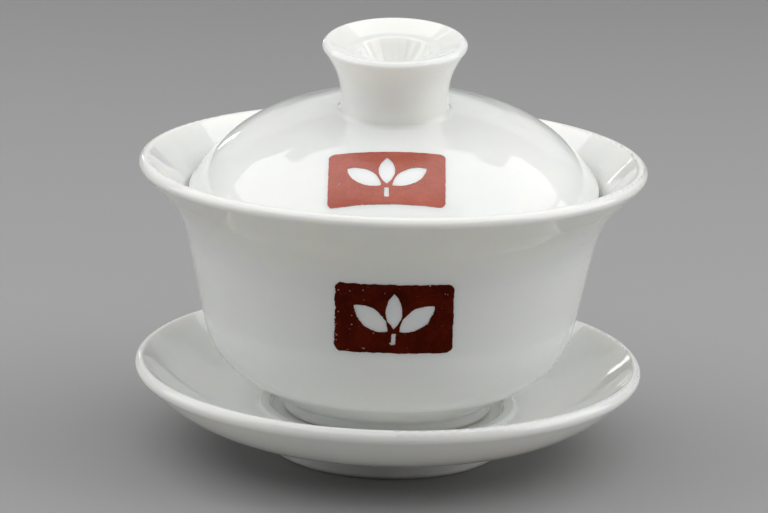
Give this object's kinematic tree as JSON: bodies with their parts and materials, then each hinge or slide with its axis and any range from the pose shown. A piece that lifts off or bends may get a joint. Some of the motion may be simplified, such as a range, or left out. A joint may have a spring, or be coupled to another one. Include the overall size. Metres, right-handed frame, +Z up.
{
  "type": "lidded tea bowl with saucer",
  "caption": "White glazed porcelain gaiwan: a flared tea bowl standing on a deep saucer, with a loose domed lid that has a hollow flared knob.",
  "frame": {"origin": "centre of the saucer's foot ring, on the surface the gaiwan stands on", "axes": "+Z up along the axis that the saucer and the bowl are turned about; -Y is the front, with the two red seals; +X to the right"},
  "size_m": [0.1012, 0.1012, 0.0852],
  "materials": {
    "porcelain": "clear gloss glaze on white porcelain, unglazed foot rings",
    "red_enamel": "iron-red transfer layer, fired on, slightly worn"
  },
  "bodies": {
    "saucer": {"saucer": "porcelain"},
    "bowl": {"bowl": "porcelain", "bowl_print": "red_enamel"},
    "lid": {"lid": "porcelain", "lid_print": "red_enamel"}
  },
  "joints": [
    {"name": "bowl_lift", "type": "slide", "parent": "saucer", "child": "bowl", "axis": [0, 0, 1], "range_m": [0, 0.06]},
    {"name": "lid_lift", "type": "slide", "parent": "bowl", "child": "lid", "axis": [0, 0, 1], "range_m": [0, 0.06]}
  ]
}
